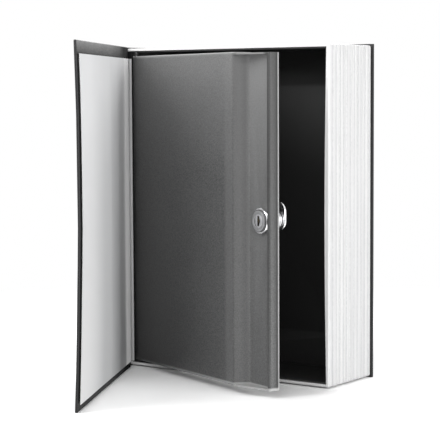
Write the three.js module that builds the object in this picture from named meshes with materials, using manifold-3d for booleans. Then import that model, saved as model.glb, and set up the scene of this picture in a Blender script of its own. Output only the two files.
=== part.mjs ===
// Book diversion safe: a steel box with a locking door, hidden in a hardcover book of moulded pages.
// Millimetres, +Z up. The origin is the middle of the back board's bottom edge, on which the book stands.
// Inside the book group, X runs from the spine to the fore-edge and Y from the front of the page block
// to the back cover, both measured from the page block's front corner at the spine.

import * as THREE from 'three';
import { mergeVertices } from 'three/addons/utils/BufferGeometryUtils.js';
import Module from 'manifold-3d';

const wasm = await Module();
wasm.setup();

// Covers
const coverHeight = 265;
const boardThickness = 2.2;
const coverOverhang = 3.2;
const backOverhang = 1.5;
const jointWidth = 5;
const clothThickness = 0.8;
const clothInset = 0.3;
const paperThickness = 0.3;
const paperTopMargin = 9.5;
const paperFootMargin = 7.2;
const stubFootMargin = 4.4;
const paperEdgeMargin = 4;
const spineThickness = 2;
const spineRound = 2.6;
const spineLap = 1.4;
const coverOpening = 61.8;
const coverHingeInset = 1.1;
const coverHingeForward = 2.2;
const coverClosedGap = 0.6;
const coverWarpFoot = 3;
const coverWarpHead = 1.4;

// Moulded page block
const pageWidth = 193.2;
const pageDepth = 63.2;
const pageFloorGap = 1.1;
const pageFootWall = 2.4;
const pageHeadWall = 2;
const pageForeWall = 2.6;
const pageSpineWall = 1.6;
const pageCornerRadius = 1.5;
const pageEdgeRound = 1.2;
const pageBackRound = 0.5;
const leafGrooveCount = 24;
const leafGrooveDepth = 0.45;
const leafGrooveWidth = 0.8;
const rimDepth = 0.5;
const rimBow = 1.6;

// Steel box
const boxSheet = 1;
const boxSetback = 0.8;
const rivetShankRadius = 1.6;
const rivetHeadRadius = 3.2;
const rivetHeadHeight = 1;
const rivetBite = 1.4;
const rivetInset = 28;

// Door
const doorSheet = 1.2;
const doorOpening = 21.3;
const doorFaceSetback = 0.8;
const doorFootGap = 0.5;
const doorHeadGap = 3;
const doorEdgeGap = 2.1;
const doorSideGap = 0.3;
const curlRadius = 2.6;
const curlOpenAngle = 35;
const knuckleLift = 0.5;
const panelShare = 0.8;
const panelEdgeRound = 2.4;
const lockEndTrim = 0.8;
const lockHeightShare = 0.5027;
const plateShoulderShare = 0.8545;
const troughDepth = 11.5;
const troughWallRun = 5.9;
const bendRadius = 1.2;
const crestRadius = 2;
const crestDrop = 7.7;
const doorDepth = 16.5;
const plateHingeTaper = 6;

// Hinge rod
const rodRadius = 1.1;
const washerRadius = 2.4;

// Lock
const discRadius = 8.5;
const discThickness = 0.9;
const discStand = 4;
const discChamfer = 0.35;
const nutAcrossFlats = 18.8;
const nutToRidge = 0.6;
const barrelRadius = 6.4;
const barrelReach = 14.2;
const barrelEndWall = 1.6;
const threadPitch = 1.25;
const threadDepth = 0.35;
const plugRadius = 5.2;
const plugNeckRadius = 3.4;
const keywayHeight = 7.8;
const keywayWidth = 2.3;
const keywayDepth = 15;
const waferCount = 5;
const waferThickness = 0.7;
const waferWidth = 5.2;
const waferHeight = 9.2;
const waferWindowHeight = 5.6;
const rearNutThickness = 2.8;
const rearWasherThickness = 0.8;
const rearWasherRadius = 9.4;

// Cam
const camThickness = 1.6;
const camLength = 14.2;
const camHubRadius = 8.2;
const camEndRound = 9.4;
const camSquare = 5.2;
const camWasherRadius = 4.6;
const camWasherThickness = 0.7;
const camScrewHeadRadius = 3.3;
const camScrewHeadHeight = 1.8;
const camScrewShankRadius = 1.4;
const camScrewLength = 4;
const camScrewSlot = 0.8;

// Strike
const strikeSheet = 1.2;
const strikePlateSheet = 1;
const strikeHalfHeight = 13;
const strikeCatch = 4.7;
const strikeClearance = 0.4;

// Fits
const fitGap = 0.3;
const glueGap = 0.2;
const cutOverrun = 2;
const roundSegments = 32;
const smallSegments = 24;

// Places worked out from the sizes above
const boardWidth = pageWidth + backOverhang - jointWidth;
const coverReach = pageWidth + coverOverhang - coverHingeInset;
const backBoardFront = pageDepth + fitGap;
const boxLeft = pageSpineWall + fitGap;
const boxRight = pageWidth - pageForeWall - fitGap;
const boxInnerLeft = boxLeft + boxSheet;
const boxInnerRight = boxRight - boxSheet;
const boxFoot = pageFloorGap + pageFootWall + fitGap;
const boxHead = coverHeight - pageFloorGap - pageHeadWall - fitGap;
const boxInnerFoot = boxFoot + boxSheet;
const boxInnerHead = boxHead - boxSheet;
const boxBack = pageDepth;
const hingeX = boxInnerLeft + doorSideGap + curlRadius;
const hingeY = doorFaceSetback + curlRadius;
const doorFoot = boxInnerFoot + doorFootGap;
const doorHead = boxInnerHead - doorHeadGap;
const doorHeight = doorHead - doorFoot;
const doorWidth = boxInnerRight - hingeX - doorEdgeGap;
const faceY = -curlRadius;
const floorY = faceY + troughDepth;
const crestX = doorWidth - crestRadius;
const crestY = faceY + crestDrop + crestRadius;
const lockX = crestX - crestRadius - nutToRidge - nutAcrossFlats / 2;
const lockZ = doorFoot + doorHeight * lockHeightShare;
const discFace = floorY - discStand;
const nutThickness = discStand - discThickness - 2 * fitGap;
const barrelEnd = floorY + barrelReach;
const camFront = barrelEnd + fitGap;
const camBack = camFront + camThickness;

// Helpers

function solid(geometry) {
  const bare = geometry.index ? geometry.toNonIndexed() : geometry.clone();
  bare.deleteAttribute('normal');
  bare.deleteAttribute('uv');
  const merged = mergeVertices(bare);
  return new wasm.Manifold(new wasm.Mesh({
    numProp: 3,
    vertProperties: new Float32Array(merged.attributes.position.array),
    triVerts: new Uint32Array(merged.index.array),
  }));
}

function shell(body) {
  const mesh = body.getMesh();
  const geometry = new THREE.BufferGeometry();
  geometry.setAttribute('position', new THREE.BufferAttribute(new Float32Array(mesh.vertProperties), 3));
  geometry.setIndex(new THREE.BufferAttribute(new Uint32Array(mesh.triVerts), 1));
  geometry.computeVertexNormals();
  return geometry;
}

function cut(geometry, ...tools) {
  return shell(tools.reduce((body, tool) => body.subtract(solid(tool)), solid(geometry)));
}

function join(...geometries) {
  return shell(geometries.map(solid).reduce((body, next) => body.add(next)));
}

function block(x0, x1, y0, y1, z0, z1) {
  const geometry = new THREE.BoxGeometry(x1 - x0, y1 - y0, z1 - z0);
  geometry.translate((x0 + x1) / 2, (y0 + y1) / 2, (z0 + z1) / 2);
  return geometry;
}

function upright(shape, z0, z1) {
  const geometry = new THREE.ExtrudeGeometry(shape, { depth: z1 - z0, bevelEnabled: false, curveSegments: 8 });
  geometry.translate(0, 0, z0);
  return geometry;
}

function inward(shape, y0, y1) {
  const geometry = new THREE.ExtrudeGeometry(shape, { depth: y1 - y0, bevelEnabled: false, curveSegments: 10 });
  geometry.rotateX(Math.PI / 2);
  geometry.translate(0, y1, 0);
  return geometry;
}

function along(shape, x0, x1) {
  const geometry = new THREE.ExtrudeGeometry(shape, { depth: x1 - x0, bevelEnabled: false });
  geometry.applyMatrix4(new THREE.Matrix4().makeBasis(
    new THREE.Vector3(0, 1, 0), new THREE.Vector3(0, 0, 1), new THREE.Vector3(1, 0, 0),
  ));
  geometry.translate(x0, 0, 0);
  return geometry;
}

function turned(profile, segments = roundSegments) {
  return new THREE.LatheGeometry(profile.map(([radius, y]) => new THREE.Vector2(radius, y)), segments);
}

function rodZ(radius, z0, z1, x = 0, y = 0) {
  const geometry = new THREE.CylinderGeometry(radius, radius, z1 - z0, smallSegments);
  geometry.rotateX(Math.PI / 2);
  geometry.translate(x, y, (z0 + z1) / 2);
  return geometry;
}

function rodY(radius, y0, y1, x = 0, z = 0) {
  const geometry = new THREE.CylinderGeometry(radius, radius, y1 - y0, roundSegments);
  geometry.translate(x, (y0 + y1) / 2, z);
  return geometry;
}

function arc(x, y, radius, startAngle, endAngle, steps) {
  return Array.from({ length: steps + 1 }, (_, k) => {
    const angle = THREE.MathUtils.degToRad(startAngle + (endAngle - startAngle) * k / steps);
    return new THREE.Vector2(x + radius * Math.cos(angle), y + radius * Math.sin(angle));
  });
}

// Rounds one corner of a folded line with an arc that touches both legs
function bend(before, corner, after, radius, steps = 3) {
  const inDirection = corner.clone().sub(before).normalize();
  const outDirection = after.clone().sub(corner).normalize();
  const turn = Math.atan2(inDirection.cross(outDirection), inDirection.dot(outDirection));
  const side = Math.sign(turn);
  const start = corner.clone().addScaledVector(inDirection, -radius * Math.tan(Math.abs(turn) / 2));
  const normal = new THREE.Vector2(-inDirection.y, inDirection.x).multiplyScalar(side);
  const centre = start.clone().addScaledVector(normal, radius);
  return Array.from({ length: steps + 1 }, (_, k) => start.clone().rotateAround(centre, turn * k / steps));
}

// Thickens a line to its left side, with mitred corners, as folded sheet is drawn
function sheet(points, thickness) {
  const inner = points.map((point, i) => {
    const before = points[Math.max(i - 1, 0)];
    const after = points[Math.min(i + 1, points.length - 1)];
    const inDirection = i > 0 ? point.clone().sub(before).normalize() : after.clone().sub(point).normalize();
    const outDirection = i < points.length - 1 ? after.clone().sub(point).normalize() : inDirection.clone();
    const mitre = inDirection.clone().add(outDirection).normalize();
    const reach = thickness / mitre.dot(inDirection);
    return new THREE.Vector2(point.x - mitre.y * reach, point.y + mitre.x * reach);
  });
  return new THREE.Shape([...points, ...inner.reverse()]);
}

function hexagon(acrossFlats) {
  return new THREE.Shape(arc(0, 0, acrossFlats / Math.sqrt(3), 90, 390, 5));
}

const paint = {
  leatherette: { color: 0x1b1b1c, roughness: 0.5, metalness: 0 },
  board: { color: 0x8d8a84, roughness: 0.9, metalness: 0 },
  paper: { color: 0xd9dadb, roughness: 0.8, metalness: 0 },
  pages: { color: 0xf3f3f4, roughness: 0.6, metalness: 0 },
  blackSteel: { color: 0x121212, roughness: 0.45, metalness: 0.2 },
  greySteel: { color: 0x5b5c5c, roughness: 0.4, metalness: 0.3 },
  bareSteel: { color: 0xa8a9ab, roughness: 0.35, metalness: 0.9 },
  chrome: { color: 0xdadcde, roughness: 0.15, metalness: 1 },
  brass: { color: 0xb3a06a, roughness: 0.35, metalness: 0.9 },
  nylon: { color: 0x2a2a2b, roughness: 0.6, metalness: 0 },
};

const book = new THREE.Group();
const cover = new THREE.Group();
const door = new THREE.Group();
const lock = new THREE.Group();

function add(parent, name, geometry, finish) {
  const mesh = new THREE.Mesh(geometry, new THREE.MeshStandardMaterial(paint[finish]));
  mesh.name = name;
  parent.add(mesh);
  return mesh;
}

// Back board and its joint to the spine
add(book, 'back_board',
  cut(
    block(jointWidth, jointWidth + boardWidth, backBoardFront, backBoardFront + boardThickness, 0, coverHeight),
    ...rivetPlaces().map(([x, z]) => rodY(rivetShankRadius + fitGap, backBoardFront - cutOverrun,
      backBoardFront + rivetBite + fitGap, x, z)),
  ), 'leatherette');

function rivetPlaces() {
  const places = [];
  for (const x of [boxLeft + rivetInset, boxRight - rivetInset]) {
    for (const z of [boxFoot + rivetInset, boxHead - rivetInset]) places.push([x, z]);
  }
  return places;
}

// Spine board, gently rounded, standing off the box as a hollow back does
const spineFront = -spineLap;
const backJointOuter = backBoardFront + boardThickness;
const spineBack = backJointOuter - clothThickness - 2 * fitGap;
const spineHalf = (spineBack - spineFront) / 2;
const spineRadius = (spineHalf ** 2 + spineRound ** 2) / (2 * spineRound);
const spineSpan = THREE.MathUtils.radToDeg(Math.asin(spineHalf / spineRadius));
const spineSteps = 12;
const spineCentre = { x: spineRadius - spineRound - fitGap, y: spineFront + spineHalf };
const spineShape = new THREE.Shape([
  ...arc(spineCentre.x, spineCentre.y, spineRadius, 180 + spineSpan, 180 - spineSpan, spineSteps),
  ...arc(spineCentre.x, spineCentre.y, spineRadius + spineThickness, 180 - spineSpan, 180 + spineSpan, spineSteps),
]);
add(book, 'spine_board', upright(spineShape, 0, coverHeight), 'leatherette');

const clothFoot = clothInset;
const clothHead = coverHeight - clothInset;
const backJointPath = new THREE.QuadraticBezierCurve(
  new THREE.Vector2(jointWidth - fitGap - clothThickness, backJointOuter),
  new THREE.Vector2(jointWidth / 2, backJointOuter - clothThickness),
  new THREE.Vector2(-spineThickness, backJointOuter),
);
add(book, 'back_joint_cloth',
  upright(sheet(backJointPath.getPoints(8), clothThickness), clothFoot, clothHead), 'leatherette');

// Page block: one moulding with leaf grooves round its three open edges
function leafStations() {
  const stations = [];
  const arcSteps = 3;
  for (let k = 0; k <= arcSteps; k += 1) {
    const angle = Math.PI / 2 * k / arcSteps;
    stations.push([pageEdgeRound * (1 - Math.cos(angle)), pageEdgeRound * (1 - Math.sin(angle))]);
  }
  const pitch = (pageDepth - pageEdgeRound - pageBackRound) / leafGrooveCount;
  const wanderShare = 0.16;
  const depthWanderShare = 0.4;
  for (let i = 0; i < leafGrooveCount; i += 1) {
    const middle = pageEdgeRound + pitch * (i + 0.5 + wanderShare * Math.sin(i * 2.4));
    const depth = leafGrooveDepth * (1 + depthWanderShare * Math.sin(i * 1.7));
    stations.push([middle - leafGrooveWidth / 2, 0], [middle, depth], [middle + leafGrooveWidth / 2, 0]);
  }
  for (let k = arcSteps; k >= 0; k -= 1) {
    const angle = Math.PI / 2 * k / arcSteps;
    stations.push([pageDepth - pageBackRound * (1 - Math.cos(angle)), pageBackRound * (1 - Math.sin(angle))]);
  }
  return stations;
}

function pageOutline(inset) {
  const right = pageWidth - inset;
  const foot = pageFloorGap + inset;
  const head = coverHeight - pageFloorGap - inset;
  const round = pageCornerRadius;
  return [
    new THREE.Vector2(0, foot),
    ...arc(right - round, foot + round, round, -90, 0, 3),
    ...arc(right - round, head - round, round, 0, 90, 3),
    new THREE.Vector2(0, head),
  ];
}

function pageSolid() {
  const stations = leafStations();
  const rings = stations.map(([, inset]) => pageOutline(inset));
  const count = rings[0].length;
  const positions = [];
  rings.forEach((ring, i) => ring.forEach((point) => positions.push(point.x, stations[i][0], point.y)));
  const index = [];
  for (let i = 0; i < rings.length - 1; i += 1) {
    for (let k = 0; k < count; k += 1) {
      const here = i * count + k;
      const beside = i * count + (k + 1) % count;
      index.push(here, beside + count, beside, here, here + count, beside + count);
    }
  }
  const last = (rings.length - 1) * count;
  for (let k = 1; k < count - 1; k += 1) {
    index.push(0, k, k + 1, last, last + k + 1, last + k);
  }
  const geometry = new THREE.BufferGeometry();
  geometry.setAttribute('position', new THREE.Float32BufferAttribute(positions, 3));
  geometry.setIndex(index);
  return geometry;
}

const pageInnerRight = pageWidth - pageForeWall;
const pageInnerFoot = pageFloorGap + pageFootWall;
const pageInnerHead = coverHeight - pageFloorGap - pageHeadWall;
const bowSteps = 10;
const rimShape = new THREE.Shape([
  new THREE.Vector2(pageSpineWall, pageInnerFoot),
  ...Array.from({ length: bowSteps + 1 }, (_, k) => {
    const share = k / bowSteps;
    const bow = rimBow * Math.sin(Math.PI * share);
    return new THREE.Vector2(pageInnerRight - bow, pageInnerFoot + (pageInnerHead - pageInnerFoot) * share);
  }),
  new THREE.Vector2(pageSpineWall, pageInnerHead),
]);
add(book, 'page_block',
  cut(
    pageSolid(),
    block(pageSpineWall, pageInnerRight, rimDepth, pageDepth + cutOverrun, pageInnerFoot, pageInnerHead),
    inward(rimShape, -cutOverrun, rimDepth + cutOverrun),
  ), 'pages');

// Steel box, open at the front, with holes for the hinge rod and the rivets
const lowerRodHole = rodZ(rodRadius + fitGap, boxFoot - cutOverrun, boxInnerFoot + cutOverrun, hingeX, hingeY);
const upperRodHole = rodZ(rodRadius + fitGap, boxInnerHead - cutOverrun, boxHead + cutOverrun, hingeX, hingeY);
const boxInnerBack = boxBack - boxSheet;
add(book, 'steel_box',
  cut(
    block(boxLeft, boxRight, boxSetback, boxBack, boxFoot, boxHead),
    block(boxInnerLeft, boxInnerRight, -cutOverrun, boxInnerBack, boxInnerFoot, boxInnerHead),
    lowerRodHole,
    upperRodHole,
    ...rivetPlaces().map(([x, z]) => rodY(rivetShankRadius + fitGap, boxInnerBack - cutOverrun,
      boxBack + cutOverrun, x, z)),
  ), 'blackSteel');

// Rivets that hold the box to the back board, heads inside the box
const rivetHeadBack = boxInnerBack - fitGap;
const rivetTip = backBoardFront + rivetBite;
rivetPlaces().forEach(([x, z], i) => {
  const rivet = turned([
    [0, rivetHeadBack - rivetHeadHeight],
    [rivetHeadRadius * 0.6, rivetHeadBack - rivetHeadHeight],
    [rivetHeadRadius, rivetHeadBack - rivetHeadHeight * 0.3],
    [rivetHeadRadius, rivetHeadBack],
    [rivetShankRadius, rivetHeadBack],
    [rivetShankRadius, rivetTip],
    [0, rivetTip],
  ], smallSegments);
  rivet.translate(x, 0, z);
  add(book, `box_rivet_${i + 1}`, rivet, 'bareSteel');
});

// Hinge rod, washer and spacer
add(book, 'hinge_rod', rodZ(rodRadius, boxFoot + glueGap, boxHead - glueGap, hingeX, hingeY), 'bareSteel');

function ringZ(innerRadius, outerRadius, z0, z1) {
  const geometry = turned([
    [innerRadius, z0], [outerRadius, z0], [outerRadius, z1], [innerRadius, z1], [innerRadius, z0],
  ], smallSegments);
  geometry.rotateX(Math.PI / 2);
  geometry.translate(hingeX, hingeY, 0);
  return geometry;
}

add(book, 'lower_hinge_washer',
  ringZ(rodRadius + fitGap, washerRadius, boxInnerFoot + fitGap, doorFoot + knuckleLift - fitGap), 'nylon');
add(book, 'upper_hinge_spacer',
  ringZ(rodRadius + fitGap, washerRadius, doorHead + fitGap, boxInnerHead - fitGap), 'nylon');

// Strike: an angle welded inside the box's fore-edge wall, behind which the cam turns
const strikeRight = boxInnerRight - fitGap;
const strikeBack = hingeY + camFront - strikeClearance;
const strikeFront = hingeY + faceY + doorDepth + strikeClearance;
const strikeEdge = hingeX + lockX + camLength - strikeCatch;
const strikeShape = new THREE.Shape([
  new THREE.Vector2(strikeRight, strikeFront),
  new THREE.Vector2(strikeRight, strikeBack),
  new THREE.Vector2(strikeEdge, strikeBack),
  new THREE.Vector2(strikeEdge, strikeBack - strikeSheet),
  new THREE.Vector2(strikeRight - strikePlateSheet, strikeBack - strikeSheet),
  new THREE.Vector2(strikeRight - strikePlateSheet, strikeFront),
]);
add(book, 'strike_bracket',
  upright(strikeShape, lockZ - strikeHalfHeight, lockZ + strikeHalfHeight), 'blackSteel');

// Endpaper stub, glued over the narrow rim beside the hinge
const paperHead = coverHeight - paperTopMargin;
add(book, 'endpaper_stub',
  block(0, boxLeft + boxSheet - fitGap, -glueGap - paperThickness, -glueGap, stubFootMargin, paperHead),
  'paper');

// Front joint: the cloth that bends when the cover opens, at its place in the open book
const coverAngle = THREE.MathUtils.degToRad(coverOpening);
const boardInner = coverHingeForward - coverClosedGap - paperThickness - glueGap;
const coverAlong = new THREE.Vector2(Math.cos(coverAngle), -Math.sin(coverAngle));
const coverHinge = new THREE.Vector2(coverHingeInset, -coverHingeForward);
const frontJointPath = new THREE.QuadraticBezierCurve(
  new THREE.Vector2(-spineThickness, spineFront - 2 * fitGap - clothThickness),
  coverHinge.clone().addScaledVector(coverAlong, clothThickness / 2),
  coverHinge.clone().addScaledVector(coverAlong, jointWidth - fitGap),
);
add(book, 'front_joint_cloth',
  upright(sheet(frontJointPath.getPoints(8), clothThickness), clothFoot, clothHead), 'leatherette');

// Front board and its endpaper, both with the warp of a cover that has stood open
cover.position.set(coverHingeInset, -coverHingeForward, 0);
cover.rotation.z = -coverAngle;

function warpedSheet(x0, x1, y0, y1, z0, z1) {
  const columns = 6;
  const rows = 10;
  const positions = [];
  const index = [];
  const at = (side, i, j) => side * (columns + 1) * (rows + 1) + i * (rows + 1) + j;
  for (const y of [y0, y1]) {
    for (let i = 0; i <= columns; i += 1) {
      for (let j = 0; j <= rows; j += 1) {
        const x = x0 + (x1 - x0) * i / columns;
        const z = z0 + (z1 - z0) * j / rows;
        const rise = 2 * z / coverHeight - 1;
        const warp = (rise < 0 ? coverWarpFoot : coverWarpHead) * (rise * x / coverReach) ** 2;
        positions.push(x, y - warp, z);
      }
    }
  }
  const face = (a, b, c, d) => index.push(a, b, c, a, c, d);
  for (let i = 0; i < columns; i += 1) {
    for (let j = 0; j < rows; j += 1) {
      face(at(0, i, j), at(0, i + 1, j), at(0, i + 1, j + 1), at(0, i, j + 1));
      face(at(1, i, j), at(1, i, j + 1), at(1, i + 1, j + 1), at(1, i + 1, j));
    }
    face(at(0, i, 0), at(1, i, 0), at(1, i + 1, 0), at(0, i + 1, 0));
    face(at(0, i, rows), at(0, i + 1, rows), at(1, i + 1, rows), at(1, i, rows));
  }
  for (let j = 0; j < rows; j += 1) {
    face(at(0, 0, j), at(0, 0, j + 1), at(1, 0, j + 1), at(1, 0, j));
    face(at(0, columns, j), at(1, columns, j), at(1, columns, j + 1), at(0, columns, j + 1));
  }
  const geometry = new THREE.BufferGeometry();
  geometry.setAttribute('position', new THREE.Float32BufferAttribute(positions, 3));
  geometry.setIndex(index);
  return geometry;
}

add(cover, 'front_board',
  warpedSheet(jointWidth, coverReach, boardInner - boardThickness, boardInner, 0, coverHeight), 'leatherette');
add(cover, 'front_endpaper',
  warpedSheet(jointWidth, coverReach - paperEdgeMargin, boardInner + glueGap,
    boardInner + glueGap + paperThickness, paperFootMargin, paperHead), 'paper');

// Door: one folded sheet from the hinge curl over the lock trough to the closing edge, with end plates
door.position.set(hingeX, hingeY, 0);
door.rotation.z = -THREE.MathUtils.degToRad(doorOpening);

const panelEnd = new THREE.Vector2(doorWidth * panelShare, faceY);
const troughStart = new THREE.Vector2(panelEnd.x + troughWallRun, floorY);
const ridgeFoot = new THREE.Vector2(crestX - crestRadius, floorY);
const ridgeSide = new THREE.Vector2(crestX - crestRadius, crestY);
const panelStart = new THREE.Vector2(0, faceY);
const doorEdge = new THREE.Vector2(doorWidth, faceY + doorDepth);
const doorPath = [
  ...arc(0, 0, curlRadius, curlOpenAngle, 270, 12),
  ...bend(panelStart, panelEnd, troughStart, bendRadius + doorSheet),
  ...bend(panelEnd, troughStart, ridgeFoot, bendRadius),
  ...bend(troughStart, ridgeFoot, ridgeSide, bendRadius / 2),
  ...arc(crestX, crestY, crestRadius, 180, 360, 8),
  doorEdge,
];
const plateShape = new THREE.Shape([
  ...arc(0, 0, curlRadius, 90, 270, 8),
  new THREE.Vector2(doorWidth * plateShoulderShare, faceY),
  ...arc(crestX, crestY, crestRadius, 250, 360, 5),
  doorEdge,
  new THREE.Vector2(plateHingeTaper, faceY + doorDepth),
]);

// The lock side of the pan is a little shorter than its panel, and has end plates of its own
function lockPlate(z0, z1) {
  return cut(upright(plateShape, z0, z1), block(-curlRadius - cutOverrun, panelEnd.x - doorSheet,
    faceY - cutOverrun, faceY + doorDepth + cutOverrun, z0 - cutOverrun, z1 + cutOverrun));
}

function lockTrim(z0, z1) {
  return block(panelEnd.x, doorWidth + cutOverrun, faceY - cutOverrun, faceY + doorDepth + cutOverrun, z0, z1);
}

// Corner waste of the bends along the panel's foot and head
const bendAxisY = faceY + panelEdgeRound;
const footWaste = new THREE.Shape([
  new THREE.Vector2(faceY - cutOverrun, doorFoot - cutOverrun),
  new THREE.Vector2(bendAxisY, doorFoot - cutOverrun),
  ...arc(bendAxisY, doorFoot + panelEdgeRound, panelEdgeRound, 270, 180, 5),
  new THREE.Vector2(faceY - cutOverrun, doorFoot + panelEdgeRound),
]);
const headWaste = new THREE.Shape([
  new THREE.Vector2(faceY - cutOverrun, doorHead - panelEdgeRound),
  ...arc(bendAxisY, doorHead - panelEdgeRound, panelEdgeRound, 180, 90, 5),
  new THREE.Vector2(bendAxisY, doorHead + cutOverrun),
  new THREE.Vector2(faceY - cutOverrun, doorHead + cutOverrun),
]);
add(door, 'door_pan',
  cut(
    join(
      upright(sheet(doorPath, doorSheet), doorFoot, doorHead),
      upright(plateShape, doorFoot, doorFoot + doorSheet),
      upright(plateShape, doorHead - doorSheet, doorHead),
      lockPlate(doorFoot, doorFoot + lockEndTrim + doorSheet),
      lockPlate(doorHead - lockEndTrim - doorSheet, doorHead),
    ),
    lockTrim(doorFoot - cutOverrun, doorFoot + lockEndTrim),
    lockTrim(doorHead - lockEndTrim, doorHead + cutOverrun),
    along(footWaste, 0, panelEnd.x),
    along(headWaste, 0, panelEnd.x),
    block(-curlRadius - cutOverrun, curlRadius + fitGap, -curlRadius - cutOverrun, curlRadius + cutOverrun,
      doorFoot - cutOverrun, doorFoot + knuckleLift),
    rodZ(rodRadius + fitGap, doorFoot - cutOverrun, doorFoot + doorSheet + cutOverrun),
    rodZ(rodRadius + fitGap, doorHead - doorSheet - cutOverrun, doorHead + cutOverrun),
    rodY(barrelRadius + fitGap, floorY - cutOverrun, floorY + doorSheet + cutOverrun, lockX, lockZ),
  ), 'greySteel');

// Lock body
lock.position.set(lockX, 0, lockZ);
door.add(lock);
const boreRadius = plugRadius + fitGap;
const endBoreRadius = plugNeckRadius + fitGap;
const boreEnd = barrelEnd - barrelEndWall;
const discBack = discFace + discThickness;
const threadStart = floorY + doorSheet;
const threadCount = Math.floor((barrelEnd - threadStart) / threadPitch);
const threadProfile = Array.from({ length: threadCount }, (_, k) => [
  [barrelRadius - threadDepth, threadStart + k * threadPitch],
  [barrelRadius, threadStart + (k + 0.5) * threadPitch],
]).flat();
add(lock, 'lock_barrel',
  turned([
    [boreRadius, discFace],
    [discRadius - discChamfer, discFace],
    [discRadius, discFace + discChamfer],
    [discRadius, discBack],
    [barrelRadius, discBack],
    [barrelRadius, threadStart - threadPitch / 2],
    ...threadProfile,
    [barrelRadius - threadDepth, barrelEnd],
    [endBoreRadius, barrelEnd],
    [endBoreRadius, boreEnd],
    [boreRadius, boreEnd],
    [boreRadius, discFace],
  ]), 'chrome');

function hexNut(y0, y1) {
  const cornerRadius = nutAcrossFlats / Math.sqrt(3);
  const chamfer = (cornerRadius - nutAcrossFlats / 2) * 0.8;
  const envelope = turned([
    [0, y0],
    [nutAcrossFlats / 2, y0],
    [cornerRadius, y0 + chamfer],
    [cornerRadius, y1 - chamfer],
    [nutAcrossFlats / 2, y1],
    [0, y1],
  ]);
  const prism = solid(inward(hexagon(nutAcrossFlats), y0, y1)).intersect(solid(envelope));
  return shell(prism.subtract(solid(rodY(barrelRadius + fitGap, y0 - cutOverrun, y1 + cutOverrun))));
}

const nutFront = discBack + fitGap;
add(lock, 'lock_nut', hexNut(nutFront, nutFront + nutThickness), 'chrome');

const rearWasherFront = floorY + doorSheet + fitGap;
const rearWasherBack = rearWasherFront + rearWasherThickness;
add(lock, 'lock_washer',
  turned([
    [barrelRadius + fitGap, rearWasherFront],
    [rearWasherRadius, rearWasherFront],
    [rearWasherRadius, rearWasherBack],
    [barrelRadius + fitGap, rearWasherBack],
    [barrelRadius + fitGap, rearWasherFront],
  ]), 'bareSteel');
add(lock, 'rear_lock_nut',
  hexNut(rearWasherBack + fitGap, rearWasherBack + fitGap + rearNutThickness), 'bareSteel');

// Plug with its keyway and wafers
const plugBack = boreEnd - fitGap;
const squareBack = camBack;
const screwHole = camScrewShankRadius + fitGap;
const keywayShape = new THREE.Shape([
  new THREE.Vector2(-keywayWidth / 2, -keywayHeight / 2),
  new THREE.Vector2(keywayWidth / 2, -keywayHeight / 2),
  new THREE.Vector2(keywayWidth / 2, -keywayHeight / 6),
  new THREE.Vector2(keywayWidth * 0.9, -keywayHeight / 10),
  new THREE.Vector2(keywayWidth * 0.9, keywayHeight / 10),
  new THREE.Vector2(keywayWidth / 2, keywayHeight / 6),
  new THREE.Vector2(keywayWidth / 2, keywayHeight / 2),
  new THREE.Vector2(-keywayWidth / 2, keywayHeight / 2),
]);
const waferPitch = (plugBack - discBack) / (waferCount + 1);
const waferFront = (i) => discBack + waferPitch * (i + 1) - waferThickness / 2;
const waferSlots = Array.from({ length: waferCount }, (_, i) => block(
  -waferWidth / 2 - glueGap, waferWidth / 2 + glueGap,
  waferFront(i) - glueGap, waferFront(i) + waferThickness + glueGap,
  -plugRadius - cutOverrun, plugRadius + cutOverrun,
));
const plugTurning = turned([
  [0, discFace],
  [plugRadius, discFace],
  [plugRadius, plugBack],
  [plugNeckRadius, plugBack],
  [plugNeckRadius, camFront - fitGap / 2],
  [0, camFront - fitGap / 2],
]);
add(lock, 'lock_plug',
  cut(
    join(plugTurning, block(-camSquare / 2, camSquare / 2, camFront - fitGap, squareBack,
      -camSquare / 2, camSquare / 2)),
    inward(keywayShape, discFace - cutOverrun, discFace + keywayDepth),
    ...waferSlots,
    rodY(screwHole, squareBack - camScrewLength - fitGap, squareBack + cutOverrun),
  ), 'chrome');

const waferShape = new THREE.Shape([
  new THREE.Vector2(-waferWidth / 2, -waferHeight / 2),
  new THREE.Vector2(waferWidth / 2, -waferHeight / 2),
  new THREE.Vector2(waferWidth / 2, waferHeight / 2),
  new THREE.Vector2(-waferWidth / 2, waferHeight / 2),
]);
const windowHalf = waferWindowHeight / 2;
waferShape.holes.push(new THREE.Path([
  new THREE.Vector2(-keywayWidth / 2, -windowHalf),
  new THREE.Vector2(-keywayWidth / 2, windowHalf),
  new THREE.Vector2(keywayWidth / 2, windowHalf),
  new THREE.Vector2(keywayWidth / 2, -windowHalf),
]));
for (let i = 0; i < waferCount; i += 1) {
  add(lock, `lock_wafer_${i + 1}`, inward(waferShape, waferFront(i), waferFront(i) + waferThickness), 'brass');
}

// Cam, with the washer and screw that hold it on the plug's square
const camRise = camLength - camEndRound;
const camShape = new THREE.Shape([
  ...arc(0, 0, camHubRadius, -180, 0, 14),
  new THREE.Vector2(camHubRadius, camRise),
  ...Array.from({ length: 13 }, (_, k) => {
    const angle = Math.PI * (k + 1) / 14;
    return new THREE.Vector2(camHubRadius * Math.cos(angle), camRise + camEndRound * Math.sin(angle));
  }),
  new THREE.Vector2(-camHubRadius, camRise),
]);
const squareHole = camSquare / 2 + fitGap;
add(lock, 'lock_cam',
  cut(
    inward(camShape, camFront, camBack),
    block(-squareHole, squareHole, camFront - cutOverrun, camBack + cutOverrun, -squareHole, squareHole),
  ), 'chrome');

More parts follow.
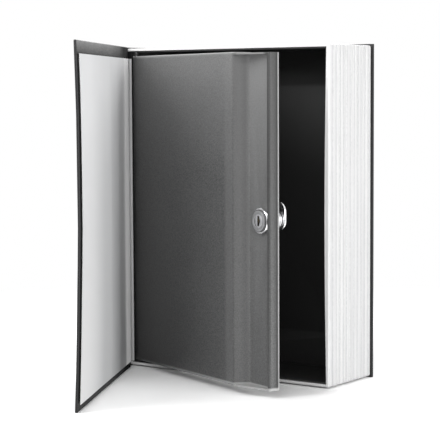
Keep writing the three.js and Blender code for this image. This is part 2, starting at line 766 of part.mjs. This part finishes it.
const camWasherFront = camBack + fitGap;
const camWasherBack = camWasherFront + camWasherThickness;
add(lock, 'cam_washer',
  turned([
    [screwHole, camWasherFront],
    [camWasherRadius, camWasherFront],
    [camWasherRadius, camWasherBack],
    [screwHole, camWasherBack],
    [screwHole, camWasherFront],
  ], smallSegments), 'bareSteel');

const screwHeadFront = camWasherBack + fitGap;
const screwHeadBack = screwHeadFront + camScrewHeadHeight;
const slotHalf = camScrewSlot / 2;
const slotDepth = camScrewHeadHeight / 2;
add(lock, 'cam_screw',
  cut(
    turned([
      [0, squareBack - camScrewLength],
      [camScrewShankRadius, squareBack - camScrewLength],
      [camScrewShankRadius, screwHeadFront],
      [camScrewHeadRadius, screwHeadFront],
      [camScrewHeadRadius, screwHeadBack - slotDepth],
      [camScrewHeadRadius * 0.7, screwHeadBack],
      [0, screwHeadBack],
    ], smallSegments),
    block(-slotHalf, slotHalf, screwHeadBack - slotDepth, screwHeadBack + cutOverrun,
      -camScrewHeadRadius - cutOverrun, camScrewHeadRadius + cutOverrun),
    block(-camScrewHeadRadius * 0.7, camScrewHeadRadius * 0.7, screwHeadBack - slotDepth,
      screwHeadBack + cutOverrun, -slotHalf, slotHalf),
  ), 'bareSteel');

book.add(cover, door);
book.position.set(-(jointWidth + boardWidth / 2), -(backBoardFront + boardThickness / 2), 0);

const safe = new THREE.Group();
safe.add(book);

export default safe;
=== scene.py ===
"""A book diversion safe, standing open on a pale studio floor."""
import math

import bpy
from mathutils import Matrix, Vector


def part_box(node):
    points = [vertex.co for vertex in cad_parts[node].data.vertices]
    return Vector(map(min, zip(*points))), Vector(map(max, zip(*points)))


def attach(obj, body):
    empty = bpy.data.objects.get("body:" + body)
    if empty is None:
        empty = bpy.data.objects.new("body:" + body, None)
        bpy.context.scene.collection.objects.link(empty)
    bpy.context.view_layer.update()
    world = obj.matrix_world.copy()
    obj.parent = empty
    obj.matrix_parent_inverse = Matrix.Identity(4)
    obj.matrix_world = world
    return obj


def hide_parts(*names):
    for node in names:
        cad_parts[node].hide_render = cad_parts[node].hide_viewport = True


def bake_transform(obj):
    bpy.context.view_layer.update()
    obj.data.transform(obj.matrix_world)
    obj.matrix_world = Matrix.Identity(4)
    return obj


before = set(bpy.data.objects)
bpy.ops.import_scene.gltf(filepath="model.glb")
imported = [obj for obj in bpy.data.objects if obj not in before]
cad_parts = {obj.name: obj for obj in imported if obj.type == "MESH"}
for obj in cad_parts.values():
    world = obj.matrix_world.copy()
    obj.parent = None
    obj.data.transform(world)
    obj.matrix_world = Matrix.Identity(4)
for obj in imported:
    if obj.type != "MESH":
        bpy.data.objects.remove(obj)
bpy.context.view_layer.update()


# The camera
# It stands a little over a metre from the book, level with the head of the covers and looking
# slightly down, with a long lens that keeps the uprights almost parallel.
camera_place = Vector((0.70945, -1.0869, 0.2273))
camera_yaw = math.radians(35.063)
camera_pitch = math.radians(-4.628)
camera_roll = math.radians(-0.282)
focal_pixels = 1571.6
picture_pixels = 440
sensor_width = 36

level_right = Vector((math.cos(camera_yaw), math.sin(camera_yaw), 0))
ahead = Vector((
    -math.sin(camera_yaw) * math.cos(camera_pitch),
    math.cos(camera_yaw) * math.cos(camera_pitch),
    math.sin(camera_pitch),
))
level_up = level_right.cross(ahead)
camera_right = level_right * math.cos(camera_roll) + level_up * math.sin(camera_roll)
camera_up = level_up * math.cos(camera_roll) - level_right * math.sin(camera_roll)

camera_data = bpy.data.cameras.new("studio_camera")
camera_data.sensor_width = sensor_width
camera_data.lens = sensor_width * focal_pixels / picture_pixels
camera_data.clip_end = 20
camera = bpy.data.objects.new("studio_camera", camera_data)
bpy.context.scene.collection.objects.link(camera)
turned = Matrix((camera_right, camera_up, -ahead)).transposed()
camera.matrix_world = Matrix.Translation(camera_place) @ turned.to_4x4()
bpy.context.scene.camera = camera
bpy.context.scene.view_settings.view_transform = "Standard"


# The studio floor
# A pale sweep that takes the book's soft shadow near its foot and runs out to white. It shows brighter to
# the camera than to the book's own surfaces. A Wire stands for one socket, so that sums and products of
# patterns are written as plain expressions.
mm = 0.001
floor_reach = 40


class Wire:
    def __init__(self, finish, socket):
        self.finish = finish
        self.socket = socket

    def math(self, operation, first, second=0):
        return self.finish.add("ShaderNodeMath", {"operation": operation}, {0: first, 1: second})

    def __add__(self, other):
        return self.math("ADD", self, other)

    def __radd__(self, other):
        return self.math("ADD", other, self)

    def __sub__(self, other):
        return self.math("SUBTRACT", self, other)

    def __rsub__(self, other):
        return self.math("SUBTRACT", other, self)

    def __mul__(self, other):
        return self.math("MULTIPLY", self, other)

    def __rmul__(self, other):
        return self.math("MULTIPLY", other, self)

    def __pow__(self, other):
        return self.math("POWER", self, other)


class Finish:
    def __init__(self, name, metallic=0, specular=0.5):
        self.material = bpy.data.materials.new(name)
        self.material.use_nodes = True
        self.tree = self.material.node_tree
        self.surface = self.tree.nodes["Principled BSDF"]
        self.surface.inputs["Metallic"].default_value = metallic
        self.surface.inputs["Specular IOR Level"].default_value = specular

    def add(self, kind, settings=None, inputs=None, output=0):
        node = self.tree.nodes.new(kind)
        for name, value in (settings or {}).items():
            if name == "stops":
                ramp = node.color_ramp
                while len(ramp.elements) < len(value):
                    ramp.elements.new(1)
                for element, (place, grey) in zip(ramp.elements, value):
                    element.position = place
                    element.color = (grey, grey, grey, 1)
            else:
                setattr(node, name, value)
        for name, value in (inputs or {}).items():
            self.feed(node.inputs[name], value)
        return Wire(self, node.outputs[output])

    def feed(self, socket, value):
        if isinstance(value, Wire):
            self.tree.links.new(value.socket, socket)
        else:
            socket.default_value = value

    def place(self, scale=(1, 1, 1), turn=0, origin=(0, 0, 0)):
        here = self.add("ShaderNodeTexCoord", output="Object")
        shift = -(Matrix.Rotation(turn, 3, "Z") @ Vector(origin))
        inputs = {"Vector": here, "Scale": scale, "Rotation": (0, 0, turn), "Location": shift}
        return self.add("ShaderNodeMapping", inputs=inputs)

    def axes(self, origin=(0, 0, 0), turn=0):
        split = self.add("ShaderNodeSeparateXYZ", inputs={"Vector": self.place(turn=turn, origin=origin)})
        return [Wire(self, split.socket.node.outputs[axis]) for axis in range(3)]

    def noise(self, size, detail=3, roughness=0.5, stretch=(1, 1, 1)):
        inputs = {"Vector": self.place(stretch), "Scale": 1 / size, "Detail": detail, "Roughness": roughness}
        return self.add("ShaderNodeTexNoise", {}, inputs)

    def cells(self, size, feature="F1"):
        inputs = {"Vector": self.place(), "Scale": 1 / size, "Randomness": 1}
        return self.add("ShaderNodeTexVoronoi", {"feature": feature}, inputs)

    def ramp(self, value, *stops):
        return self.add("ShaderNodeValToRGB", {"stops": stops}, {"Fac": value})

    def band(self, distance, *stops):
        """A ramp along a distance in metres, with its stops in millimetres."""
        start, length = stops[0][0], stops[-1][0] - stops[0][0]
        share = (distance - start * mm) * (1 / (length * mm))
        return self.ramp(share, *(((place - start) / length, level) for place, level in stops))

    def mix(self, factor, first, second):
        first, second = [(*colour, 1) if isinstance(colour, tuple) else colour for colour in (first, second)]
        return self.add("ShaderNodeMix", {"data_type": "RGBA"}, {0: factor, 6: first, 7: second}, output=2)

    def dress(self, colour, roughness, bumps=()):
        if isinstance(colour, tuple):
            colour = (*colour, 1)
        self.feed(self.surface.inputs["Base Color"], colour)
        self.feed(self.surface.inputs["Roughness"], roughness)
        normal = None
        for height, distance in bumps:
            inputs = {"Height": height, "Distance": distance, "Strength": 1}
            if normal:
                inputs["Normal"] = normal
            normal = self.add("ShaderNodeBump", {}, inputs)
        if normal:
            self.feed(self.surface.inputs["Normal"], normal)
        return self.material


def grey(level):
    return (level, level, level)


def give(piece, material):
    piece.data.materials.clear()
    piece.data.materials.append(material)


def give_nodes(material, *names):
    for name in names:
        give(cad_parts[name], material)


bpy.ops.object.select_all(action="DESELECT")
bpy.ops.mesh.primitive_plane_add(size=floor_reach)
floor = bpy.context.object
floor.name = "studio_floor"
floor_paint = Finish("studio_floor_white", specular=0.2)
floor_paint.dress(grey(0.5), 0.6)
book_middle = (20 * mm, -100 * mm, 0)
across, along, _ = floor_paint.axes(origin=book_middle)
reach = (across * across + along * along) ** 0.5
far = floor_paint.band(reach, (300, 0), (650, 1))
rays = "ShaderNodeLightPath"
seen = floor_paint.add(rays, output="Is Camera Ray") + floor_paint.add(rays, output="Is Glossy Ray")
near_white = floor_paint.add("ShaderNodeBsdfDiffuse", {}, {"Color": (*grey(1.4), 1)})
far_white = floor_paint.add("ShaderNodeEmission", {}, {"Color": (*grey(1), 1), "Strength": 1})
sweep = floor_paint.add("ShaderNodeMixShader", {}, {0: far, 1: near_white, 2: far_white})
painted = Wire(floor_paint, floor_paint.surface.outputs[0])
floor_look = floor_paint.add("ShaderNodeMixShader", {}, {0: seen, 1: painted, 2: sweep})
floor_paint.feed(floor_paint.tree.nodes["Material Output"].inputs["Surface"], floor_look)
give(floor, floor_paint.material)


# The studio light
# White all round, weaker on the book than it looks. A lamp behind throws the shadow towards the camera,
# one at the right lights the page edges and the endpaper, and three weaker ones stand above, in front at
# the left, and in front at the right.
world_glow = 0.15
world = bpy.data.worlds.new("studio_light")
bpy.context.scene.world = world
world.use_nodes = True
world_tree = world.node_tree
light_path = world_tree.nodes.new("ShaderNodeLightPath")
seen_rays = light_path.outputs["Is Camera Ray"]
for ray in ("Is Glossy Ray", "Is Transmission Ray"):
    joined = world_tree.nodes.new("ShaderNodeMath")
    joined.operation = "ADD"
    world_tree.links.new(seen_rays, joined.inputs[0])
    world_tree.links.new(light_path.outputs[ray], joined.inputs[1])
    seen_rays = joined.outputs[0]
strength = world_tree.nodes.new("ShaderNodeMath")
strength.operation = "MULTIPLY_ADD"
strength.inputs[1].default_value = 1 - world_glow
strength.inputs[2].default_value = world_glow
world_tree.links.new(seen_rays, strength.inputs[0])
world_tree.links.new(strength.outputs[0], world_tree.nodes["Background"].inputs["Strength"])
world_tree.nodes["Background"].inputs["Color"].default_value = (1, 1, 1, 1)


def lamp(name, place, target, side, power):
    data = bpy.data.lights.new(name, "AREA")
    data.shape = "SQUARE"
    data.size = side
    data.energy = power
    light = bpy.data.objects.new(name, data)
    bpy.context.scene.collection.objects.link(light)
    facing = (Vector(target) - Vector(place)).to_track_quat("-Z", "Y")
    light.matrix_world = Matrix.Translation(Vector(place)) @ facing.to_matrix().to_4x4()


lamp("back_lamp", (-0.28, 1.0, 1.05), (0, -0.1, 0), 0.9, 13.5)
lamp("overhead_lamp", (0, -0.75, 0.9), (0, -0.05, 0.2), 0.8, 3)
lamp("right_lamp", (1.38, -0.27, 0.38), (0, 0, 0.12), 0.8, 12.5)
lamp("front_lamp", (-0.48, -0.75, 0.72), (0, -0.05, 0.22), 0.6, 5.6)
lamp("fill_lamp", (0.8, -1.05, 0.45), (-0.05, -0.05, 0.12), 0.8, 3.6)


# The cover boards, spine and back joint
# Grey board wrapped in black grained book cloth. The spine is a stiff curved liner that stands off the
# box, and the back joint is the same cloth without board.
def grained_cloth(name, specular):
    finish = Finish(name, specular=specular)
    grain = finish.cells(0.9 * mm)
    fine_grain = finish.noise(0.35 * mm, detail=2)
    wear = finish.noise(14 * mm, detail=3)
    worn = finish.ramp(wear * 0.5 + grain * 0.5, (0.25, 0), (0.8, 1))
    return finish, wear, worn, [(grain, 0.10 * mm), (fine_grain, 0.03 * mm)]


book_cloth, wear, worn, weave = grained_cloth("grained_book_cloth", specular=0.35)
cloth_tone = book_cloth.mix(worn, (0.007, 0.007, 0.008), (0.018, 0.018, 0.019))
book_cloth.dress(cloth_tone, 0.42 + wear * 0.16, weave)

# Where the cloth is turned in over the inner side of the front board it is coloured lighter than the
# outer cloth as a painted sheen, streaked by the paste, lighter still towards the head as a painted
# highlight, and painted black as shade in its folds at the head and foot away from the joint.
cover_angle = math.radians(61.8)
cover_hinge = Vector((-98.75, -66.8, 0)) * mm
turned_cloth, _, worn, weave = grained_cloth("turned_in_book_cloth", specular=0.12)
from_joint, _, turned_height = turned_cloth.axes(cover_hinge, cover_angle)
out_of_joint = turned_cloth.band(from_joint, (22.5, 0), (37.5, 0.5), (75, 1))
painted_head_highlight = turned_cloth.band(turned_height, (256, 0), (264.5, 1))
head_fold_shade = turned_cloth.band(turned_height, (254.7, 0), (256.7, 1))
foot_fold_shade = turned_cloth.band(turned_height, (6, 0.6), (7.5, 0))
streaks = turned_cloth.noise(1.2 * mm, detail=2, stretch=(0.12, 0.12, 1))
uneven = worn * 0.5 + streaks * 0.5
# Painted sheen: the same cloth as outside, coloured lighter here, with a painted highlight towards the head.
painted_sheen_tone = turned_cloth.mix(uneven, grey(0.04), grey(0.15))
painted_highlight_tone = turned_cloth.mix(uneven, grey(0.135), grey(0.34))
turned_tone = turned_cloth.mix(painted_head_highlight, painted_sheen_tone, painted_highlight_tone)
# Painted shade: black in the folds at the head and foot, away from the joint.
turned_tone = turned_cloth.mix(out_of_joint * (head_fold_shade + foot_fold_shade), grey(0.004), turned_tone)
turned_cloth.dress(turned_tone, 0.95 - out_of_joint * painted_head_highlight * 0.35, weave)


def copied(node):
    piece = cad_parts[node].copy()
    piece.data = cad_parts[node].data.copy()
    piece.name = f"{node}_finished"
    piece.parent = None
    bpy.context.scene.collection.objects.link(piece)
    bpy.ops.object.select_all(action="DESELECT")
    bpy.context.view_layer.objects.active = piece
    piece.select_set(True)
    bpy.ops.object.mode_set(mode="EDIT")
    bpy.ops.mesh.select_all(action="SELECT")
    bpy.ops.mesh.remove_doubles(threshold=0.002 * mm)
    bpy.ops.mesh.dissolve_limited(angle_limit=math.radians(0.5))
    bpy.ops.object.mode_set(mode="OBJECT")
    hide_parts(node)
    return piece


def rounded(node, body, width, segments=2):
    crease = math.radians(30)
    piece = copied(node)
    bevel = piece.modifiers.new("edge", "BEVEL")
    bevel.width = width
    bevel.segments = segments
    bevel.limit_method = "ANGLE"
    bevel.angle_limit = crease
    bevel.use_clamp_overlap = True
    bpy.ops.object.modifier_apply(modifier="edge")
    bpy.ops.object.shade_smooth_by_angle(angle=crease)
    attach(piece, body)
    return piece


# The front board has warped: it bows away from the book, and its fore-edge leans out, most at the foot.
along_cover = Vector((math.cos(cover_angle), -math.sin(cover_angle), 0))
inside = Vector((math.sin(cover_angle), math.cos(cover_angle), 0))
cover_length = 195 * mm
bow = 1.2 * mm
lean_everywhere = 0.35 * mm
lean_at_head = 0.4 * mm
lean_at_foot = 1.1 * mm
head_zone_start, head_zone_depth = 200 * mm, 65 * mm
foot_zone_start, foot_zone_depth = 170 * mm, 110 * mm


def from_cover_hinge(corner):
    return (corner.co - cover_hinge).dot(along_cover)


def splayed(piece):
    for corner in piece.data.vertices:
        share = max(0, from_cover_hinge(corner)) / cover_length
        high = max(0, (corner.co.z - head_zone_start) / head_zone_depth)
        low = min(1, max(0, (foot_zone_start - corner.co.z) / foot_zone_depth))
        eased_low = low * low * (3 - 2 * low)
        lean = lean_everywhere + lean_at_head * high + lean_at_foot * eased_low
        corner.co -= inside * (share**2 * lean + bow * math.sin(math.pi * min(1, share)))
    return piece


for node in ("back_board", "spine_board"):
    give(rounded(node, "case", 0.8 * mm, segments=3), book_cloth.material)
front_board = splayed(rounded("front_board", "cover", 0.8 * mm, segments=3))
give(front_board, book_cloth.material)
# The faces turned towards the book take the turned-in cloth: the same cloth, coloured lighter as a painted
# sheen.
front_board.data.materials.append(turned_cloth.material)
for face in front_board.data.polygons:
    face.material_index = int(face.normal.dot(inside) > 0.8)
give(rounded("back_joint_cloth", "case", 0.2 * mm), book_cloth.material)


# The front joint
# The strip of cloth between the spine and the front board. It has no board in it, so on the book it
# bends as the cover swings; here it is smoothed and left as it stands.
front_joint = copied("front_joint_cloth")
bpy.ops.object.shade_smooth_by_angle(angle=math.radians(40))
give(front_joint, book_cloth.material)
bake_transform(front_joint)


# Endpapers
# Light grey uncoated paper, pasted over the turned-in cloth on the front board, with a narrow strip
# beside the hinge on the box. The sheet is folded beside the hinge. Its colour carries painted light and
# shade: lighter in the fold and on the outer side low down, painted shade in the middle of its width and
# just outside the fold, both stronger towards the foot.
endpaper = Finish("endpaper", specular=0.25)
fibre = endpaper.noise(0.6 * mm, detail=4)
cloud = endpaper.noise(30 * mm, detail=2)
from_hinge, _, sheet_height = endpaper.axes(cover_hinge, cover_angle)
fold_shape = ((0, 0.9), (4, 1), (20, 0.1), (28, 0), (34, 0.04), (50, 0.24), (80, 0.4))
fold = endpaper.band(from_hinge, *fold_shape)
below = endpaper.band(sheet_height, (16.7, 1), (260, 0))
painted_fold_light = endpaper.band(from_hinge, (20, 1), (27, 0))
painted_inner_shade = endpaper.band(from_hinge, (17.5, 0), (25, 1), (45, 1), (75, 0))
painted_middle_shade = endpaper.band(from_hinge, (30, 0), (75, 1), (105, 1), (150, 0))
painted_outer_light = endpaper.band(from_hinge, (112.5, 0), (165, 1))
# Painted light and shade: darker middle and inner bands, a lighter outer side and a lighter fold.
sheet_tone = endpaper.mix(cloud * 0.6 + fibre * 0.2, (0.75, 0.755, 0.765), (0.84, 0.84, 0.845))
sheet_tone = endpaper.mix(painted_middle_shade * (0.2 + below * 0.45), sheet_tone, (0.55, 0.555, 0.56))
sheet_tone = endpaper.mix(painted_inner_shade * below * 0.7, sheet_tone, (0.3, 0.305, 0.31))
sheet_tone = endpaper.mix(painted_outer_light * below, sheet_tone, grey(0.93))
endpaper.dress(
    endpaper.mix(painted_fold_light, sheet_tone, grey(0.93)),
    0.75 + fibre * 0.1,
    [(fibre, 0.02 * mm), (cloud, 0.3 * mm), (fold, 13 * mm)],
)
front_endpaper = splayed(copied("front_endpaper"))
foot_height = 20 * mm
fore_edge_start = 170 * mm
for corner in front_endpaper.data.vertices:
    if corner.co.z < foot_height:
        corner.co.z -= 2.4 * mm
    if from_cover_hinge(corner) > fore_edge_start:
        corner.co -= along_cover * 2.3 * mm
give(front_endpaper, endpaper.material)
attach(front_endpaper, "cover")
give_nodes(endpaper.material, "endpaper_stub")


# The strips under the endpaper strip
# Two thin strips glued over the moulding's spine wall, under the strip of endpaper: black cloth over
# nearly the full height, with light paper on it.
page_low, page_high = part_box("page_block")
stub_low, stub_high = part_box("endpaper_stub")
lap_width = 3.7 * mm
lap_gap = 0.02 * mm
lap_sheet = 0.06 * mm
cloth_front = page_low[1] - lap_gap
paper_front = cloth_front - lap_gap - lap_sheet
cloth_foot, cloth_head = page_low[2] + 3 * mm, page_high[2] - 2.3 * mm
for name, slot, finish, front, foot, head in (
    ("spine_cloth_lap", "leatherette", book_cloth, cloth_front, cloth_foot, cloth_head),
    ("spine_paper_lap", "paper", endpaper, paper_front, stub_low[2], stub_high[2]),
):
    bpy.ops.object.select_all(action="DESELECT")
    bpy.ops.mesh.primitive_cube_add(
        size=1,
        location=(page_low[0] + lap_width / 2, front - lap_sheet / 2, (foot + head) / 2),
        scale=(lap_width, lap_sheet, head - foot),
    )
    lap = bpy.context.object
    lap.name = name
    bpy.ops.object.transform_apply(location=True, rotation=True, scale=True)
    bpy.ops.object.mode_set(mode="EDIT")
    bpy.ops.mesh.select_all(action="SELECT")
    bpy.ops.mesh.bevel(offset=0.02 * mm, segments=2)
    bpy.ops.object.mode_set(mode="OBJECT")
    give(lap, finish.material)
    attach(lap, "case")


# The page block
# One white moulding that imitates the edges of the pages: its leaf grooves run round three sides and
# carry finer lines between them. Darker lines at a regular pitch are painted shade standing for the
# grooves, and the front edge carries a thin painted highlight.
pages = Finish("moulded_pages", specular=0.4)
leaves = pages.noise(0.5 * mm, detail=2, stretch=(0.012, 1, 0.012))
leaf_groups = pages.noise(2.4 * mm, detail=2, stretch=(0.01, 1, 0.01))
page_mask = pages.ramp(leaves * 0.5 + leaf_groups * 0.5, (0.36, 0), (0.56, 1))
groove_line_pitch = 5.4 * mm
wave_units = 20
wave = {
    "Vector": pages.place(),
    "Scale": math.tau / (wave_units * groove_line_pitch),
    "Distortion": 1.2,
    "Detail": 1,
    "Detail Scale": 9,
}
groove_line_wave = pages.add("ShaderNodeTexWave", {"bands_direction": "Y"}, wave, output=1)
painted_groove_lines = pages.ramp(groove_line_wave, (0.02, 1), (0.3, 0))
_, from_front, _ = pages.axes(origin=(0, -64.6 * mm, 0))
# Painted highlight: a thin lighter line along the front edge of the moulding.
painted_front_rim_highlight = pages.band(from_front, (0.4, 1), (0.7, 0))
page_tone = pages.mix(page_mask, (0.70, 0.70, 0.71), grey(0.82))
# Painted shade: darker lines at a regular pitch, for the shade in the leaf grooves.
page_tone = pages.mix(painted_groove_lines * 0.6, page_tone, (0.60, 0.60, 0.61))
pages.dress(
    pages.mix(painted_front_rim_highlight, page_tone, grey(0.97)),
    0.45,
    [(leaves, 0.25 * mm), (leaf_groups, 0.5 * mm)],
)
give_nodes(pages.material, "page_block")


# The steel box, its strike and its rivets
# Folded and welded sheet under black powder coat, riveted to the back board through its floor.
powder_coat = Finish("black_powder_coat", specular=0.4)
peel = powder_coat.noise(0.8 * mm, detail=2)
powder_coat.dress(grey(0.03), 0.42 + peel * 0.15, [(peel, 0.05 * mm)])
for node in ("steel_box", "strike_bracket"):
    give(rounded(node, "case", 0.3 * mm), powder_coat.material)

plated_steel = Finish("zinc_plated_steel", metallic=1)
haze = plated_steel.noise(1.5 * mm, detail=4)
plated_steel.dress(
    plated_steel.mix(haze, (0.42, 0.42, 0.43), (0.58, 0.58, 0.59)),
    0.26 + haze * 0.18,
    [(haze, 0.01 * mm)],
)
give_nodes(plated_steel.material, *(f"box_rivet_{number}" for number in range(1, 5)), "hinge_rod")

nylon = Finish("dark_nylon", specular=0.4)
nylon_grain = nylon.noise(0.5 * mm)
nylon.dress(grey(0.03), 0.5 + nylon_grain * 0.1, [(nylon_grain, 0.01 * mm)])
give_nodes(nylon.material, "lower_hinge_washer", "upper_hinge_spacer")


# The steel door
# One folded sheet with end plates, painted dark grey with a hammered, sandy texture. Light and shade are
# painted into its colour: highlights along the edges and bends, shadow beside the hinge low down, light in
# the trough, on the panel's strip beside the sloping wall and towards the head, and shade on the sloping
# wall, on the closing side and in the crease beside it.
hammered = Finish("hammered_grey_paint", specular=0.5)
sand = hammered.noise(0.7 * mm, detail=3, roughness=0.65)
dimples = hammered.cells(1.4 * mm, feature="SMOOTH_F1")
drift = hammered.noise(45 * mm, detail=2)
sand_mask = hammered.ramp(sand, (0.38, 0), (0.62, 1))
door_angle = math.radians(21.3)
door_hinge = Vector((-94.05, -61.2, 0)) * mm
outward, inward, height = hammered.axes(door_hinge, door_angle)
# Painted shade: the closing side is darker, more towards the head, with a darker crease beside its edge.
closing_side = hammered.band(outward, (175, 0), (178.5, 1)) * hammered.band(inward, (12.6, 1), (12.8, 0))
crease = closing_side * hammered.band(inward, (10.8, 0), (11.4, 1))
# Painted highlights: light lines along the closing edge and the bends at the head and foot, the foot bend
# lightest, standing for the floor's reflection.
painted_side_edge_highlight = hammered.band(inward, (12.7, 0), (13.1, 1))
painted_foot_bend_highlight = hammered.band(height, (6.8, 1), (8.4, 0)) * hammered.band(outward, (37.5, 0.08), (130, 1))
painted_head_bend_highlight = hammered.band(height, (256.6, 0), (257.3, 1))
painted_edge_highlight = 1 - (1 - painted_side_edge_highlight) * (1 - painted_foot_bend_highlight) * (1 - painted_head_bend_highlight)
# Painted shadow: darker beside the hinge, most low down, where the cover shades the door.
painted_hinge_shadow = hammered.band(outward, (25, 1), (140, 0))
# Painted light: the panel's strip beside the sloping wall is lighter.
painted_panel_strip_light = hammered.band(outward, (132.5, 0), (136.25, 1), (143.5, 1), (145, 0))
# Painted shade: the sloping wall is darker.
painted_wall_shade = hammered.band(outward, (143.5, 0), (145, 1), (149.5, 1), (151, 0))
# Painted light: lighter in the trough and towards the head.
painted_trough_light = hammered.band(outward, (143, 0), (147.5, 1), (175, 1), (178.5, 0))
painted_head_light = hammered.band(height, (166.7, 0), (260, 0.3))
below_head = hammered.band(height, (150, 0.26), (233.3, 0.06))
up_closing_side = hammered.band(height, (20, 0.3), (200, 0.8))
painted_tone = hammered.mix(sand_mask * 0.75 + drift * 0.25, (0.042, 0.043, 0.043), (0.19, 0.191, 0.191))
# Painted light and shade, share by share: hinge shadow, head light, trough light, panel strip light, wall
# shade, closing-side shade, crease shade, edge highlights and the foot bend's highlight.
for share, tone in (
    (painted_hinge_shadow * (0.8 - height * 2.7), 0.03),
    (painted_head_light, 0.3),
    (painted_trough_light * (0.12 + height * 1.3), 0.37),
    (painted_panel_strip_light * below_head, 0.3),
    (painted_wall_shade * 0.4, 0.04),
    (closing_side * up_closing_side, 0.02),
    (crease * 0.7, 0.01),
    (painted_edge_highlight * 0.8, 0.5),
    (painted_foot_bend_highlight * 0.5, 0.75),
):
    painted_tone = hammered.mix(share, painted_tone, grey(tone))
hammered.dress(
    painted_tone,
    0.34 + sand * 0.2,
    [(dimples, 0.05 * mm), (sand, 0.11 * mm)],
)
give(rounded("door_pan", "door", 0.35 * mm), hammered.material)


# The cam lock
# A satin housing with a face disc and a threaded barrel, clamped by one nut on each side of the door;
# the plug carries five brass wafers, and a screw holds the chromed cam on its square end.
satin_nickel = Finish("satin_nickel", metallic=1)
brushed = satin_nickel.noise(0.8 * mm, detail=3)
lock_axis = Vector((60.97, -124.43, 132.13)) * mm
beside, _, above = satin_nickel.axes(lock_axis, door_angle)
from_axis = (beside * beside + above * above) ** 0.5
# Painted shade: a dark ring round the edge of the face disc.
painted_disc_edge_shade = satin_nickel.band(from_axis, (7.7, 0), (8.1, 1))
disc_tone = satin_nickel.mix(brushed, (0.5, 0.5, 0.51), (0.68, 0.68, 0.69))
satin_nickel.dress(
    satin_nickel.mix(painted_disc_edge_shade * 0.8, disc_tone, grey(0.05)),
    0.28 + brushed * 0.14,
    [(brushed, 0.004 * mm)],
)
bright_chrome = Finish("bright_chrome", metallic=1)
polish = bright_chrome.noise(0.8 * mm, detail=3)
bright_chrome.dress(
    bright_chrome.mix(polish, (0.88, 0.88, 0.89), (0.95, 0.95, 0.96)),
    0.06 + polish * 0.08,
    [(polish, 0.003 * mm)],
)
for node, body, width, finish in (
    ("lock_barrel", "door", 0.12 * mm, satin_nickel),
    ("lock_nut", "door", 0.2 * mm, bright_chrome),
    ("lock_plug", "plug", 0.15 * mm, bright_chrome),
    ("lock_cam", "plug", 0.45 * mm, bright_chrome),
):
    give(rounded(node, body, width), finish.material)
for node in ("rear_lock_nut", "lock_washer"):
    give(rounded(node, "door", 0.15 * mm), plated_steel.material)
for node in ("cam_washer", "cam_screw"):
    give(rounded(node, "plug", 0.15 * mm), plated_steel.material)

# The wafers are coloured nearly black, painted shade for the inside of the keyway.
brass = Finish("stamped_brass", metallic=1)
dark_brass_mottle = brass.noise(0.7 * mm)
brass.dress(brass.mix(dark_brass_mottle, (0.06, 0.05, 0.03), (0.13, 0.10, 0.05)), 0.28 + dark_brass_mottle * 0.15)
give_nodes(brass.material, *(f"lock_wafer_{number}" for number in range(1, 6)))
